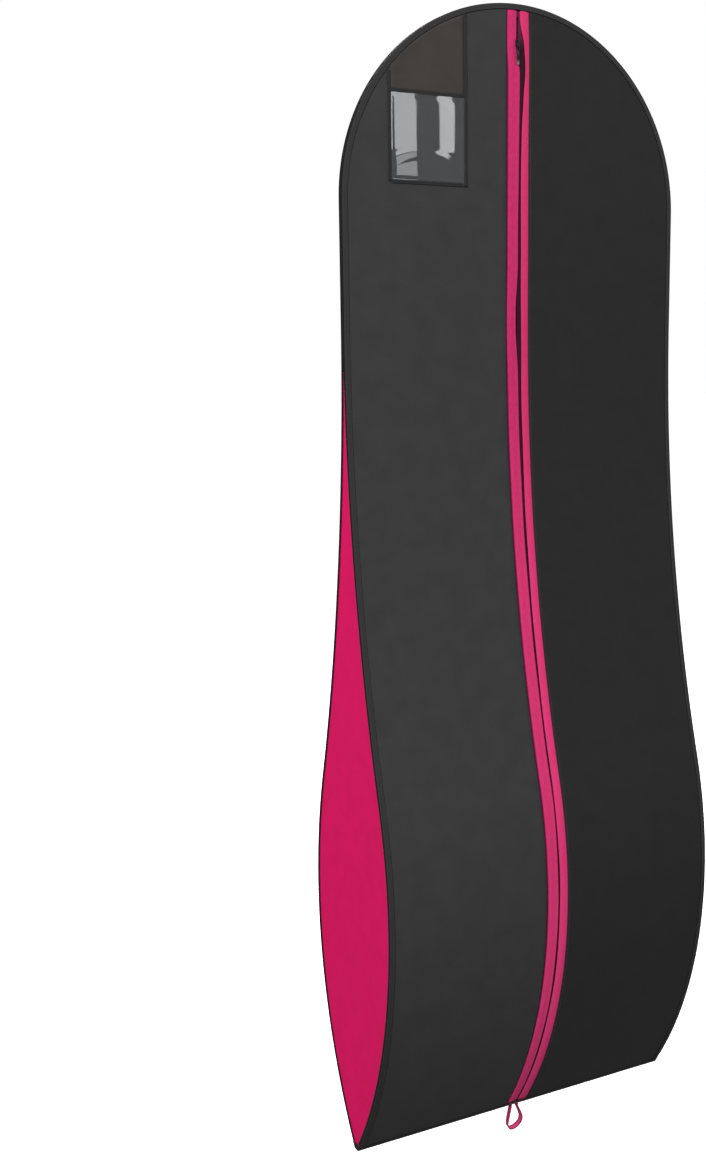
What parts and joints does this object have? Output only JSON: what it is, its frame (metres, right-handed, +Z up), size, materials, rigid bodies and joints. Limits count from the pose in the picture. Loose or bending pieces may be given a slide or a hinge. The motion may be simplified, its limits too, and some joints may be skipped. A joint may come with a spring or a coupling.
{
  "type": "garment bag",
  "caption": "Long hanging garment bag with an arched top, full-length front zip, tapered side gussets, clear card window and fold-up loop at the hem.",
  "frame": {"origin": "middle of the hanger slit on top of the arch, from which the bag hangs", "axes": "+Z up along the hanging bag, -Y out of the zipped front face, +X to the right of someone who faces the zip"},
  "size_m": [0.61, 0.27, 1.8803],
  "materials": {
    "charcoal_cloth": "matte spun-bonded cloth with a fine embossed grain",
    "black_cloth": "matte black spun-bonded cloth with a printed motif",
    "pink_cloth": "matte deep pink spun-bonded cloth",
    "edge_tape": "woven polyester edge tape, stitched",
    "lip_cloth": "folded pink cloth",
    "zip_weave": "woven zip tape",
    "coil_nylon": "moulded nylon coil",
    "stop_metal": "bright pressed metal",
    "slider_metal": "black enamelled die casting",
    "clear_vinyl": "soft clear vinyl sheet, glossy and slightly wavy",
    "header_cloth": "warm charcoal cloth",
    "loop_tape": "woven pink tape",
    "tack_thread": "dense satin stitching"
  },
  "bodies": {
    "bag": {"back_panel": "black_cloth", "front_panel_left": "charcoal_cloth", "front_panel_right": "charcoal_cloth", "gusset_left": "pink_cloth", "gusset_right": "pink_cloth", "edge_tape_front": "edge_tape", "edge_tape_back": "edge_tape", "side_tape_left": "edge_tape", "side_tape_right": "edge_tape", "bottom_tape": "edge_tape", "zip_lip_left": "lip_cloth", "zip_lip_right": "lip_cloth", "zip_tape_left": "zip_weave", "zip_tape_right": "zip_weave", "zip_coil_left": "coil_nylon", "zip_coil_right": "coil_nylon", "zip_top_stops": "stop_metal", "zip_bottom_stop": "stop_metal", "window_pane": "clear_vinyl", "window_header": "header_cloth", "window_strip_inner": "edge_tape", "window_strip_outer": "edge_tape", "window_strip_top": "edge_tape", "window_strip_bottom": "edge_tape", "hanger_slit_patch": "header_cloth", "loop_bar_tack": "tack_thread"},
    "slider": {"zip_slider": "slider_metal"},
    "pull_tab": {"zip_pull": "slider_metal"},
    "loop": {"bottom_loop": "loop_tape"}
  },
  "joints": [
    {"name": "zip_slide", "type": "slide", "parent": "bag", "child": "slider", "axis": [0, 0, -1], "range_m": [-0.032, 0.42]},
    {"name": "pull_hinge", "type": "hinge", "parent": "slider", "child": "pull_tab", "pos_m": [0, -0.0075, -0.062], "axis": [-1, 0, 0], "range_deg": [0, 160]},
    {"name": "loop_swing", "type": "hinge", "parent": "bag", "child": "loop", "pos_m": [0, 0, -1.8365], "axis": [1, 0, 0], "range_deg": [-90, 90]}
  ]
}
